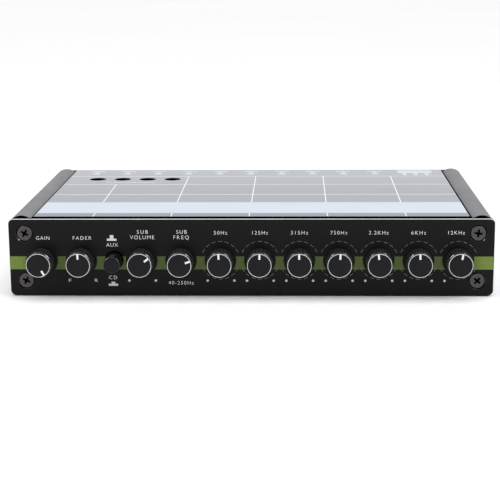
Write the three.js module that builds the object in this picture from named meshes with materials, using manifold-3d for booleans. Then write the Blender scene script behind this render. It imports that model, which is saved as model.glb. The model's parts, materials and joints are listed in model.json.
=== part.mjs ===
// A seven-band rotary graphic equalizer for a car dashboard: two extruded side rails carry a top cover,
// a bottom cover and a circuit board in their grooves, and screwed end plates close the box.
// Millimetres. +X is to the user's right, -Y towards the user, +Z up. The origin is the centre of the
// bounding box's bottom face, which is also the middle of the rails' length, on the surface they stand on.
import * as THREE from "three";
import { mergeVertices } from "three/addons/utils/BufferGeometryUtils.js";
import Module from "manifold-3d";

const wasm = await Module();
wasm.setup();

// ---------------------------------------------------------------- driving dimensions

const FIT = 0.3; // clearance between two pieces that meet
const JOIN = 0.05; // hairline left between faces that are screwed together

const railHalfLength = 52.5; // from the middle to the back of either end plate
const railOuterX = 89; // outer side of a rail
const railCrownZ = 30.4; // highest point of a rail
const railCrownRadius = 5.5;
const railLipX = 82; // inner side of a rail, beside the covers
const railBossX = 81.2; // inner side of the screw bosses
const railWebX = 87.2; // inner side of the thin wall between the bosses
const railRibX = 79.8; // inner side of the ribs that hold the board
const grooveX = 84.2; // bottom of the cover grooves
const lowerBossTopZ = 8.6;
const upperBossBottomZ = 21.2;

const topGroove = { low: 26.9, high: 28.2 };
const bottomGroove = { low: 1.9, high: 3.2 };
const coverThickness = 1.5;
const topCoverZ = 29.8; // outer face of the top cover
const bottomCoverZ = 0.5; // outer face of the bottom cover

const endPlate = { bottom: 0.3, height: 29.2, corner: 2 };
const frontPlate = { width: 180, thickness: 2.5 };
const rearPlate = { width: 178, thickness: 2 };
const frontFaceY = -railHalfLength - frontPlate.thickness;
const rearFaceY = railHalfLength + rearPlate.thickness;

const screwX = 84;
const screwZ = [5.95, 23.95];
const screw = { head: 2.75, panHeight: 1.8, recess: 1.3, shank: 1.2, length: 10 };
const screwChannel = 1.5; // radius of the channels in the rails
const sink = { radius: 3.15, below: 0.15 }; // countersink, and how far its screw sits below the face

const board = { halfWidth: 80.9, bottom: 5.1, thickness: 1.6, halfLength: 51.9 };
const boardTopZ = board.bottom + board.thickness;
const seatZ = boardTopZ + JOIN; // underside of what stands on the board
const slotHeight = 2; // board groove between the ribs

const controlZ = 13.8; // axis of every knob and of the button
const controlPitch = 14.66;
const lastBandX = 76.8; // highest band, next to the right rail
const faderX = -63.05;
const gainX = -77.75;
const shaft = { radius: 3, flat: 1.55, tip: 6.4, inner: 6 };
const knob = { tip: 9, gap: 0.6, face: 4.15, rim: 4.5, grip: 4.7, skirt: 4.95, boreDepth: 6.9 };
const pot = { width: 9.4, height: 9.2, depth: 6.6, legWidth: 3.6 };

const button = { radius: 3, hole: 3.4, reach: 8.2, inner: 3.1, travel: 2.5 };
const latch = { width: 8.4, height: 8.4, front: 6, depth: 13, rod: 3, rodFront: 0.6, rodBack: 11.6 };

const accessHole = { radius: 3.5, firstX: -68.3, pitch: 10.74, y: 29.2, count: 4 };

const jack = { firstX: -70.8, pitch: 13.57, z: 14.2, barrel: 4.15, collar: 4.7, bore: 1.65, reach: 9.5 };
const jackHousing = { width: 26.7, depth: 12, top: 20.6 };
const terminal = { x: 69.8, width: 16, top: 17.8, depth: 10, reach: 8, pitch: 5.08, entry: 1.5, well: 1.9 };

const regulator = {
  x: 45,
  y: 30,
  half: 5,
  leg: 3,
  tab: { thickness: 1.4, height: 15 },
  chip: { depth: 4.5, height: 9 },
};
const capacitor = { x: 60, y: 18, radius: 5, height: 16 };
const inductor = { x: 72, y: 6, foot: 12, base: 3, radius: 5.5, height: 11.5 };

// How far each pointer is turned clockwise from straight up, in degrees.
const CONTROLS = [
  { name: "gain", x: gainX, pointer: 150 },
  { name: "fader", x: faderX, pointer: 0 },
  { name: "sub_volume", x: lastBandX - 8 * controlPitch, pointer: 52 },
  { name: "sub_frequency", x: lastBandX - 7 * controlPitch, pointer: 68 },
  { name: "band_50hz", x: lastBandX - 6 * controlPitch, pointer: -4 },
  { name: "band_125hz", x: lastBandX - 5 * controlPitch, pointer: 1 },
  { name: "band_315hz", x: lastBandX - 4 * controlPitch, pointer: -2 },
  { name: "band_750hz", x: lastBandX - 3 * controlPitch, pointer: 4 },
  { name: "band_2200hz", x: lastBandX - 2 * controlPitch, pointer: -8 },
  { name: "band_6khz", x: lastBandX - controlPitch, pointer: -2 },
  { name: "band_12khz", x: lastBandX, pointer: 10 },
];
const buttonX = -50.75;

// Turn of each screw's cross recess, in degrees, for the four corners.
const CORNERS = [
  { name: "lower_left", x: -screwX, z: screwZ[0], turn: 25 },
  { name: "lower_right", x: screwX, z: screwZ[0], turn: 42 },
  { name: "upper_left", x: -screwX, z: screwZ[1], turn: 30 },
  { name: "upper_right", x: screwX, z: screwZ[1], turn: 8 },
];

const JACK_PAIRS = ["main_input", "aux_input", "front_output", "rear_output", "sub_output"];

// ---------------------------------------------------------------- materials

const paint = (color, roughness, metalness) =>
  new THREE.MeshStandardMaterial({ color, roughness, metalness });
const MATERIAL = {
  blackPlate: paint(0x202022, 0.5, 0.6),
  rail: paint(0x8c8c90, 0.45, 0.8),
  silver: paint(0xbabdc2, 0.4, 0.7),
  blackSteel: paint(0x1c1c1e, 0.6, 0.5),
  knob: paint(0x262628, 0.5, 0.1),
  plastic: paint(0x18181a, 0.55, 0.0),
  screw: paint(0x6e6a68, 0.35, 0.9),
  steel: paint(0xb0b2b6, 0.3, 0.95),
  board: paint(0x1f5a34, 0.6, 0.0),
  jack: paint(0xc9ccd0, 0.25, 0.95),
  terminal: paint(0x2c6b3c, 0.5, 0.0),
  can: paint(0x2b2f45, 0.4, 0.1),
};

// ---------------------------------------------------------------- geometry helpers

const degrees = (angle) => (angle * Math.PI) / 180;

// Points along an arc in the XZ plane.
function arc(x, z, radius, from, to, steps) {
  return Array.from({ length: steps + 1 }, (_, i) => {
    const angle = degrees(from + ((to - from) * i) / steps);
    return new THREE.Vector2(x + radius * Math.cos(angle), z + radius * Math.sin(angle));
  });
}

const circle = (x, z, radius, steps) => arc(x, z, radius, 0, 360, steps).slice(0, -1);
const points = (pairs) => pairs.map(([x, z]) => new THREE.Vector2(x, z));

// A flat shape in the XZ plane, with holes, made solid from y0 to y1.
function extrude(outline, holes, y0, y1) {
  const shape = new THREE.Shape(outline);
  shape.holes = holes.map((hole) => new THREE.Path(hole));
  return new THREE.ExtrudeGeometry(shape, { depth: y1 - y0, bevelEnabled: false })
    .rotateX(Math.PI / 2)
    .translate(0, y1, 0);
}

function box(x0, x1, y0, y1, z0, z1) {
  const block = new THREE.BoxGeometry(x1 - x0, y1 - y0, z1 - z0);
  return block.translate((x0 + x1) / 2, (y0 + y1) / 2, (z0 + z1) / 2);
}

// A cylinder along Y.
function rod(x, z, radius, y0, y1, steps = 16) {
  return new THREE.CylinderGeometry(radius, radius, y1 - y0, steps).translate(x, (y0 + y1) / 2, z);
}

// A turned piece about the Y axis, from pairs of radius and y.
function lathe(profile, steps) {
  return new THREE.LatheGeometry(points(profile), steps);
}

function toSolid(geometry) {
  const bare = geometry.index ? geometry.toNonIndexed() : geometry.clone();
  bare.deleteAttribute("normal");
  bare.deleteAttribute("uv");
  const merged = mergeVertices(bare, 1e-4);
  return new wasm.Manifold(
    new wasm.Mesh({
      numProp: 3,
      vertProperties: merged.getAttribute("position").array,
      triVerts: new Uint32Array(merged.index.array),
    }),
  );
}

function toGeometry(solid) {
  const mesh = solid.getMesh();
  const geometry = new THREE.BufferGeometry();
  geometry.setAttribute("position", new THREE.BufferAttribute(new Float32Array(mesh.vertProperties), 3));
  geometry.setIndex(new THREE.BufferAttribute(new Uint32Array(mesh.triVerts), 1));
  const flat = geometry.toNonIndexed();
  flat.computeVertexNormals();
  return flat;
}

const join = (...pieces) => toGeometry(pieces.map(toSolid).reduce((a, b) => a.add(b)));
const cut = (piece, ...tools) =>
  toGeometry(tools.map(toSolid).reduce((a, b) => a.subtract(b), toSolid(piece)));

const equalizer = new THREE.Group();

function add(name, geometry, material) {
  const mesh = new THREE.Mesh(geometry, material);
  mesh.name = name;
  equalizer.add(mesh);
  return mesh;
}

// ---------------------------------------------------------------- casing

// Cross-section of the right rail: a rounded crown, a thin outer wall, two screw bosses and three grooves.
function railOutline() {
  const crownX = (railOuterX + railLipX) / 2;
  const crownCentreZ = railCrownZ - railCrownRadius;
  const halfSpan = degrees(90) - Math.asin((railOuterX - crownX) / railCrownRadius);
  const start = (halfSpan * 180) / Math.PI;
  const footChamfer = 0.8;
  const slotLow = boardTopZ - board.thickness - (slotHeight - board.thickness) / 2;
  return [
    ...points([
      [railLipX, 0],
      [railOuterX - footChamfer, 0],
      [railOuterX, footChamfer],
    ]),
    ...arc(crownX, crownCentreZ, railCrownRadius, start, 180 - start, 10),
    ...points([
      [railLipX, topGroove.high],
      [grooveX, topGroove.high],
      [grooveX, topGroove.low],
      [railBossX, topGroove.low],
      [railBossX, upperBossBottomZ],
      [railWebX, upperBossBottomZ],
      [railWebX, lowerBossTopZ],
      [railRibX, lowerBossTopZ],
      [railRibX, slotLow + slotHeight],
      [railBossX, slotLow + slotHeight],
      [railBossX, slotLow],
      [railRibX, slotLow],
      [railRibX, bottomGroove.high],
      [grooveX, bottomGroove.high],
      [grooveX, bottomGroove.low],
      [railLipX, bottomGroove.low],
    ]),
  ];
}

function addRails() {
  const channels = screwZ.map((z) => circle(screwX, z, screwChannel, 12));
  const half = railHalfLength - JOIN;
  add("right_side_rail", extrude(railOutline(), channels, -half, half), MATERIAL.rail);
  const left = extrude(railOutline(), channels, -half, half).rotateZ(Math.PI);
  add("left_side_rail", left, MATERIAL.rail);
}

// A cover is a flat sheet whose long edges step inwards to tongues that slide in the rails' grooves.
function coverOutline(outerZ, tongueOuterZ, tongueInnerZ) {
  const sheetX = railLipX - FIT - 0.1;
  const tongueX = grooveX - FIT;
  const stepX = railRibX - FIT;
  const innerZ = outerZ + Math.sign(tongueInnerZ - outerZ) * coverThickness;
  const half = [
    [stepX, innerZ],
    [stepX, tongueInnerZ],
    [tongueX, tongueInnerZ],
    [tongueX, tongueOuterZ],
    [sheetX, tongueOuterZ],
    [sheetX, outerZ],
  ];
  const mirrored = half.map(([x, z]) => [-x, z]).reverse();
  return points([...half, ...mirrored]);
}

function addCovers() {
  const half = railHalfLength - 0.4;
  const top = extrude(coverOutline(topCoverZ, topGroove.high - 0.2, topGroove.low + 0.2), [], -half, half);
  const holes = Array.from({ length: accessHole.count }, (_, i) =>
    new THREE.CylinderGeometry(accessHole.radius, accessHole.radius, 4, 20)
      .rotateX(Math.PI / 2)
      .translate(accessHole.firstX + i * accessHole.pitch, accessHole.y, topCoverZ - coverThickness / 2),
  );
  add("top_cover", cut(top, ...holes), MATERIAL.silver);
  const bottom = extrude(
    coverOutline(bottomCoverZ, bottomGroove.low + 0.2, bottomGroove.high - 0.2),
    [],
    -half,
    half,
  );
  add("bottom_cover", bottom, MATERIAL.blackSteel);
}

function plateOutline(width) {
  const x = width / 2 - endPlate.corner;
  const low = endPlate.bottom + endPlate.corner;
  const high = endPlate.bottom + endPlate.height - endPlate.corner;
  return [
    ...arc(x, low, endPlate.corner, -90, 0, 4),
    ...arc(x, high, endPlate.corner, 0, 90, 4),
    ...arc(-x, high, endPlate.corner, 90, 180, 4),
    ...arc(-x, low, endPlate.corner, 180, 270, 4),
  ];
}

function addFrontPanel() {
  const shaftHole = shaft.radius + 0.5;
  const holes = [
    ...CONTROLS.map((control) => circle(control.x, controlZ, shaftHole, 16)),
    circle(buttonX, controlZ, button.hole, 20),
  ];
  const blank = extrude(plateOutline(frontPlate.width), holes, frontFaceY, -railHalfLength);
  const through = frontPlate.thickness + 1;
  const coneDepth = sink.radius - 1.7;
  const sinks = CORNERS.map((corner) =>
    lathe(
      [
        [0, -1],
        [sink.radius + 1, -1],
        [sink.radius - coneDepth, coneDepth],
        [sink.radius - coneDepth, through],
        [0, through],
      ],
      16,
    ).translate(corner.x, frontFaceY, corner.z),
  );
  add("front_panel", cut(blank, ...sinks), MATERIAL.blackPlate);
}

function addRearPanel() {
  const gap = FIT;
  const holes = [
    ...Array.from({ length: 2 * JACK_PAIRS.length }, (_, i) =>
      circle(jack.firstX + i * jack.pitch, jack.z, jack.collar + gap, 16),
    ),
    points([
      [terminal.x - terminal.width / 2 - gap, boardTopZ],
      [terminal.x + terminal.width / 2 + gap, boardTopZ],
      [terminal.x + terminal.width / 2 + gap, terminal.top + gap],
      [terminal.x - terminal.width / 2 - gap, terminal.top + gap],
    ]),
    ...CORNERS.map((corner) => circle(corner.x, corner.z, screw.shank + 0.4, 12)),
  ];
  const plate = extrude(plateOutline(rearPlate.width), holes, railHalfLength, rearFaceY);
  add("rear_panel", plate, MATERIAL.blackSteel);
}

// ---------------------------------------------------------------- fasteners

// A cross recess, cut from the face at y = 0 in the +Y direction.
function crossRecess(depth) {
  const halfLong = 1.5;
  const halfWide = 0.42;
  return [
    box(-halfLong, halfLong, -1, depth, -halfWide, halfWide),
    box(-halfWide, halfWide, -1, depth, -halfLong, halfLong),
  ];
}

// Both screws point along +Y, with the head's face at y = 0.
function countersunkScrew() {
  const coneDepth = screw.head - 1.35;
  const body = lathe(
    [
      [0, 0],
      [screw.head, 0],
      [screw.head - coneDepth, coneDepth],
      [screw.shank, coneDepth + 0.15],
      [screw.shank, screw.length],
      [0, screw.length],
    ],
    16,
  );
  return cut(body, ...crossRecess(screw.recess));
}

function panScrew() {
  const body = lathe(
    [
      [0, 0],
      [screw.head * 0.6, 0],
      [screw.head, 0.9],
      [screw.head, screw.panHeight],
      [screw.shank, screw.panHeight],
      [screw.shank, screw.panHeight + screw.length],
      [0, screw.panHeight + screw.length],
    ],
    16,
  );
  return cut(body, ...crossRecess(screw.recess));
}

function addScrews() {
  for (const corner of CORNERS) {
    const front = add(`front_screw_${corner.name}`, countersunkScrew(), MATERIAL.screw);
    front.position.set(corner.x, frontFaceY + sink.below, corner.z);
    front.rotation.y = degrees(corner.turn);
    const rear = add(`rear_screw_${corner.name}`, panScrew(), MATERIAL.screw);
    rear.position.set(corner.x, rearFaceY + JOIN + screw.panHeight, corner.z);
    rear.rotation.set(0, degrees(corner.turn), Math.PI);
  }
}

// ---------------------------------------------------------------- rotary controls

// The pieces of a control are drawn about the Y axis, with y = 0 at the panel's front face.
function knobBody() {
  const turned = lathe(
    [
      [0, -knob.tip],
      [knob.face, -knob.tip],
      [knob.rim, -knob.tip + 0.3],
      [knob.rim, -knob.tip + 1],
      [knob.grip, -knob.tip + 1.3],
      [knob.skirt, -knob.gap],
      [shaft.radius + FIT, -knob.gap],
      [shaft.radius + FIT, -knob.boreDepth],
      [0, -knob.boreDepth],
    ],
    18,
  );
  const keyDepth = shaft.flat + FIT + 0.1;
  const key = box(-2.6, 2.6, -knob.boreDepth - 0.1, -1.6, -shaft.radius - 0.6, -keyDepth);
  const pointer = box(-0.45, 0.45, -knob.tip - 1, -knob.tip + 0.25, 1.7, knob.rim + 1);
  return cut(join(turned, key), pointer);
}

// A D-shaft: round inside the case, with a flat opposite the pointer where the knob fits.
function shaftBody() {
  const round = rod(0, 0, shaft.radius, -shaft.tip, shaft.inner);
  const flat = box(-4, 4, -shaft.tip - 1, -1.2, -4, -shaft.flat);
  return cut(round, flat);
}

// A square potentiometer on the board, with a bore that its shaft turns in.
function potBody() {
  const front = frontPlate.thickness + FIT;
  const back = front + pot.depth;
  const top = pot.height / 2;
  const can = box(-pot.width / 2, pot.width / 2, front, back, -top, top);
  const leg = pot.legWidth / 2;
  const legs = box(-leg, leg, front + 1, back - 1, seatZ - controlZ, -top + 1);
  const bore = rod(0, 0, shaft.radius + FIT, front - 1, shaft.inner + FIT);
  return cut(join(can, legs), bore);
}

function addControls() {
  for (const control of CONTROLS) {
    const pieces = [
      add(`${control.name}_knob`, knobBody(), MATERIAL.knob),
      add(`${control.name}_shaft`, shaftBody(), MATERIAL.steel),
    ];
    for (const piece of pieces) piece.rotation.y = degrees(control.pointer);
    pieces.push(add(`${control.name}_potentiometer`, potBody(), MATERIAL.steel));
    for (const piece of pieces) piece.position.set(control.x, frontFaceY, controlZ);
  }
}

// ---------------------------------------------------------------- source button

function addSourceSwitch() {
  const rodHalf = latch.rod / 2;
  const boreHalf = rodHalf + FIT;
  const cap = lathe(
    [
      [0, -button.reach],
      [button.radius - 0.4, -button.reach],
      [button.radius, -button.reach + 0.4],
      [button.radius, button.inner],
      [0, button.inner],
    ],
    20,
  );
  const capBore = box(-boreHalf, boreHalf, -latch.rodFront - FIT, button.inner + 1, -boreHalf, boreHalf);
  const plunger = box(-rodHalf, rodHalf, -latch.rodFront, latch.rodBack, -rodHalf, rodHalf);
  const half = latch.width / 2;
  const low = seatZ - controlZ;
  const housing = box(-half, half, latch.front, latch.front + latch.depth, low, latch.height / 2);
  const throatEnd = latch.rodBack + button.travel + 1;
  const throat = box(-boreHalf, boreHalf, latch.front - 1, throatEnd, -boreHalf, boreHalf);
  const pieces = [
    add("source_button_cap", cut(cap, capBore), MATERIAL.plastic),
    add("source_switch_plunger", plunger, MATERIAL.plastic),
    add("source_switch_body", cut(housing, throat), MATERIAL.steel),
  ];
  for (const piece of pieces) piece.position.set(buttonX, frontFaceY, controlZ);
}

// ---------------------------------------------------------------- board, sockets and power parts

function addBoard() {
  const { halfWidth, halfLength, bottom } = board;
  add("main_board", box(-halfWidth, halfWidth, -halfLength, halfLength, bottom, boardTopZ), MATERIAL.board);
}

// One moulding with two coaxial sockets; the collars fill the rear panel's holes.
function jackPair(centreX) {
  const innerY = railHalfLength - FIT;
  const tipY = rearFaceY + jack.reach;
  const sides = [-jack.pitch / 2, jack.pitch / 2];
  const half = jackHousing.width / 2;
  const housing = box(
    centreX - half,
    centreX + half,
    innerY - jackHousing.depth,
    innerY,
    seatZ,
    jackHousing.top,
  );
  const collars = sides.map((side) => rod(centreX + side, jack.z, jack.collar, innerY - 1, rearFaceY + 0.8));
  const barrels = sides.map((side) => rod(centreX + side, jack.z, jack.barrel, innerY - 1, tipY));
  const bores = sides.map((side) => rod(centreX + side, jack.z, jack.bore, rearFaceY - 1, tipY + 1, 12));
  return cut(join(housing, ...collars, ...barrels), ...bores);
}

function addJacks() {
  JACK_PAIRS.forEach((name, i) => {
    const centreX = jack.firstX + (2 * i + 0.5) * jack.pitch;
    add(`${name}_jacks`, jackPair(centreX), MATERIAL.jack);
  });
}

// Three screw terminals: wires enter the rear face, screws sit in wells in the top.
function addPowerTerminal() {
  const half = terminal.width / 2;
  const outerY = rearFaceY + terminal.reach;
  const poles = [-1, 0, 1].map((i) => terminal.x + i * terminal.pitch);
  const body = box(
    terminal.x - half,
    terminal.x + half,
    railHalfLength - terminal.depth,
    outerY,
    seatZ,
    terminal.top,
  );
  const entries = poles.map((x) => rod(x, 10.4, terminal.entry, outerY - 5, outerY + 1, 12));
  const wells = poles.map((x) =>
    new THREE.CylinderGeometry(terminal.well, terminal.well, 4, 12)
      .rotateX(Math.PI / 2)
      .translate(x, outerY - 3.4, terminal.top),
  );
  add("power_terminal", cut(body, ...entries, ...wells), MATERIAL.terminal);
}

// A cylinder that stands on the board, or on something at z0.
function upright(x, y, radius, z0, z1) {
  const post = new THREE.CylinderGeometry(radius, radius, z1 - z0, 16).rotateX(Math.PI / 2);
  return post.translate(x, y, (z0 + z1) / 2);
}

function addPowerParts() {
  const { x, y, half, tab, chip, leg } = regulator;
  const sheet = box(x - half, x + half, y, y + tab.thickness, seatZ + leg, seatZ + leg + tab.height);
  const body = box(x - half, x + half, y - chip.depth, y, seatZ + leg, seatZ + leg + chip.height);
  const legs = box(x - half + 2, x + half - 2, y - 3, y - 2, seatZ, seatZ + leg + 1);
  add("voltage_regulator", join(sheet, body, legs), MATERIAL.plastic);

  const { radius, height } = capacitor;
  const can = upright(capacitor.x, capacitor.y, radius, seatZ, seatZ + height);
  add("filter_capacitor", can, MATERIAL.can);

  const foot = inductor.foot / 2;
  const baseTop = seatZ + inductor.base;
  const base = box(-foot, foot, -foot, foot, seatZ, baseTop).translate(inductor.x, inductor.y, 0);
  const coil = upright(inductor.x, inductor.y, inductor.radius, baseTop - 0.5, seatZ + inductor.height);
  add("power_inductor", join(base, coil), MATERIAL.plastic);
}

addRails();
addCovers();
addFrontPanel();
addRearPanel();
addScrews();
addControls();
addSourceSwitch();
addBoard();
addJacks();
addPowerTerminal();
addPowerParts();

export default equalizer;
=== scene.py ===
"""Looks for a rotary graphic equalizer: black front plate with printed scales, ribbed knobs,
grey side rails and a silver cover printed with a block diagram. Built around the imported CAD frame."""

import json
import math

import bmesh
import bpy
from mathutils import Matrix, Vector


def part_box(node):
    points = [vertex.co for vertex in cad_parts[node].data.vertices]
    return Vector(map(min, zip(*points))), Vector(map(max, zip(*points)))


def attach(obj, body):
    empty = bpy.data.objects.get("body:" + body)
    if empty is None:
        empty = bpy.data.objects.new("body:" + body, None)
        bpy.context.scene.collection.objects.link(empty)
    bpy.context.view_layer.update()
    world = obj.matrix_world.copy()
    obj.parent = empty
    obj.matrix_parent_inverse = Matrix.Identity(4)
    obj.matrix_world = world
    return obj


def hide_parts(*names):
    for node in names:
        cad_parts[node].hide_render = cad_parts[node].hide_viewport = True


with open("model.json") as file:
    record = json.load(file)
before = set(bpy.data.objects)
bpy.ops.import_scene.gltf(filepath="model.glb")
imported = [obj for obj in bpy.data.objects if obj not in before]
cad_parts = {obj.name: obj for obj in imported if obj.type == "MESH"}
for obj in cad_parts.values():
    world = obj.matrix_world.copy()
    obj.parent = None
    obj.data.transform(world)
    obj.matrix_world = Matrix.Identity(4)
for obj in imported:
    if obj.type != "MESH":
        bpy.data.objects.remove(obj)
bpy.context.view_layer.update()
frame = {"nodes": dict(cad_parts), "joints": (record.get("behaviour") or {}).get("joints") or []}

MM = 0.001
CHASSIS = "chassis"

# ---------------------------------------------------------------- sizes taken from the frame


def box_mm(node):
    low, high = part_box(node)
    return low / MM, high / MM


def middle_x(node):
    low, high = box_mm(node)
    return (low.x + high.x) / 2


def joint_mm(name):
    joint = next(j for j in frame["joints"] if j["name"] == name)
    return Vector(joint["pos_m"]) / MM


PANEL_LOW, PANEL_HIGH = box_mm("front_panel")
REAR_LOW, REAR_HIGH = box_mm("rear_panel")
COVER_LOW, COVER_HIGH = box_mm("top_cover")
BASE_LOW, BASE_HIGH = box_mm("bottom_cover")
FACE_Y = PANEL_LOW.y
REAR_Y = REAR_HIGH.y
BOARD_Z = box_mm("main_board")[1].z  # the board's top face

BANDS = ["band_50hz", "band_125hz", "band_315hz", "band_750hz", "band_2200hz", "band_6khz", "band_12khz"]
CONTROLS = ["gain", "fader", "sub_volume", "sub_frequency"] + BANDS
# How far each pointer is turned clockwise from straight up at rest, in degrees.
POINTER = dict(zip(CONTROLS, (150, 0, 52, 68, -4, 1, -2, 4, -8, -2, 10)))
CONTROL_X = {name: joint_mm(name + "_turn").x for name in CONTROLS}
CONTROL_Z = joint_mm("gain_turn").z
BUTTON_X = middle_x("source_button_cap")
# How far each screw's cross is turned, in degrees.
SCREWS = {"lower_left": 25, "lower_right": 42, "upper_left": 30, "upper_right": 8}
JACKS = ["main_input", "aux_input", "front_output", "rear_output", "sub_output"]
PAIR_X = [middle_x(name + "_jacks") for name in JACKS]
JACK_HALF = (PAIR_X[1] - PAIR_X[0]) / 4  # half the distance between two neighbouring jacks
JACK_X = [x + side for x in PAIR_X for side in (-JACK_HALF, JACK_HALF)]

# ---------------------------------------------------------------- materials


def srgb(r, g, b):
    """Linear colour of a 0-255 display colour."""
    values = []
    for c in (r, g, b):
        c /= 255
        values.append(c / 12.92 if c <= 0.04045 else ((c + 0.055) / 1.055) ** 2.4)
    return (*values, 1.0)


class Nodes:
    """A short way to write a node tree."""

    def __init__(self, name):
        self.material = bpy.data.materials.new(name)
        self.material.use_nodes = True
        self.tree = self.material.node_tree
        self.shader = self.tree.nodes["Principled BSDF"]
        self.coords = self.tree.nodes.new("ShaderNodeTexCoord").outputs["Object"]

    def new(self, kind, inputs=None, **settings):
        node = self.tree.nodes.new(kind)
        for key, value in settings.items():
            setattr(node, key, value)
        for key, value in (inputs or {}).items():
            self.put(node.inputs[key], value)
        return node

    def put(self, socket, value):
        if isinstance(value, bpy.types.NodeSocket):
            self.tree.links.new(value, socket)
        else:
            socket.default_value = value

    def mapped(self, scale):
        return self.new("ShaderNodeMapping", {"Vector": self.coords, "Scale": scale}).outputs["Vector"]

    def noise(self, scale, detail=3.0, stretch=(1, 1, 1), roughness=0.55):
        vector = self.mapped(stretch)
        inputs = {"Vector": vector, "Scale": scale, "Detail": detail, "Roughness": roughness}
        return self.new("ShaderNodeTexNoise", inputs).outputs["Fac"]

    def ramp(self, fac, stops):
        node = self.new("ShaderNodeValToRGB", {"Fac": fac})
        elements = node.color_ramp.elements
        while len(elements) < len(stops):
            elements.new(0.5)
        for element, (position, colour) in zip(elements, stops):
            element.position = position
            element.color = colour if len(colour) == 4 else (*colour, 1.0)
        return node.outputs["Color"]

    def grey_ramp(self, fac, low, high, start=0.3, end=0.7):
        return self.ramp(fac, [(start, (low, low, low)), (end, (high, high, high))])

    def mix(self, fac, a, b, blend="MIX"):
        node = self.new("ShaderNodeMix", data_type="RGBA", blend_type=blend)
        # The node has a set of sockets for each data type; these are the colour ones, found by number.
        for index, value in ((0, fac), (6, a), (7, b)):
            self.put(node.inputs[index], value)
        return node.outputs[2]

    def bump(self, height, strength, distance):
        inputs = {"Height": height, "Strength": strength, "Distance": distance * MM}
        normal = self.new("ShaderNodeBump", inputs).outputs["Normal"]
        self.put(self.shader.inputs["Normal"], normal)

    def set(self, **values):
        for key, value in values.items():
            self.put(self.shader.inputs[key.replace("_", " ")], value)


def scaled(colour, k):
    return tuple(min(1.0, c * k) for c in colour[:3]) + (1.0,)


def make_material(name, colour, roughness, metallic=0.0, grain=900.0, vary=0.12, rough_vary=0.08,
                  bump=0.15, bump_depth=0.05, stretch=(1, 1, 1), specular=0.5, blotch=60.0):
    """A surface with a fine grain, a broad uneven tone and a matching change of roughness."""
    n = Nodes(name)
    fine = n.noise(grain, 4.0, stretch)
    broad = n.noise(blotch, 2.0)
    tone = n.ramp(broad, [(0.25, scaled(colour, 1 - vary)), (0.75, scaled(colour, 1 + vary))])
    speck = n.grey_ramp(fine, 1 - vary, 1.0)
    n.set(Base_Color=n.mix(1.0, tone, speck, "MULTIPLY"))
    n.set(Roughness=n.grey_ramp(fine, max(0.02, roughness - rough_vary), min(1.0, roughness + rough_vary)))
    n.shader.inputs["Metallic"].default_value = metallic
    n.shader.inputs["Specular IOR Level"].default_value = specular
    n.bump(fine, bump, bump_depth)
    return n.material


def green_ink_with_painted_shade():
    """Green print with painted shade: darker between the knobs, where they shade it, and lighter at the two
    ends of the plate.
    """
    n = Nodes("green_print_with_painted_shade")
    across = n.new("ShaderNodeSeparateXYZ", {"Vector": n.coords}).outputs["X"]
    ends = n.new("ShaderNodeMath", {0: across}, operation="ABSOLUTE").outputs[0]
    # Painted shade between the knobs and painted light at the two ends.
    bright, painted_shade = srgb(112, 132, 59), srgb(84, 99, 49)
    tone = n.ramp(ends, [(0.0, painted_shade), (0.079, painted_shade), (0.086, bright), (1.0, bright)])
    speck = n.grey_ramp(n.noise(1500, 4.0), 0.86, 1.0)
    n.set(Base_Color=n.mix(1.0, tone, speck, "MULTIPLY"), Roughness=n.grey_ramp(n.noise(900), 0.4, 0.55))
    n.shader.inputs["Specular IOR Level"].default_value = 0.2
    n.bump(n.noise(1500, 4.0), 0.1, 0.02)
    return n.material


def cover_paint_with_painted_shade():
    """Silver paint with painted light: darker along the front edge as painted shade and lighter towards the
    rear as painted sheen.
    """
    n = Nodes("silver_paint_with_painted_shade")
    depth = n.new("ShaderNodeSeparateXYZ", {"Vector": n.coords}).outputs["Y"]
    # Painted shade at the front edge and painted sheen towards the rear, as levels along the depth.
    stops = ((0.0, 155), (0.06, 158), (0.1, 168), (0.5, 171), (0.9, 181), (1.0, 184))
    span = n.new("ShaderNodeMapRange", {"Value": depth, "From Min": -0.052, "From Max": 0.052}).outputs[0]
    tone = n.ramp(span, [(at, srgb(level - 3, level, level + 5)) for at, level in stops])
    fine = n.noise(2200, 4.0)
    n.set(Base_Color=n.mix(1.0, tone, n.grey_ramp(fine, 0.95, 1.0), "MULTIPLY"))
    n.set(Roughness=n.grey_ramp(n.noise(90.0), 0.42, 0.56))
    n.shader.inputs["Specular IOR Level"].default_value = 0.06
    n.bump(fine, 0.15, 0.05)
    return n.material


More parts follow.
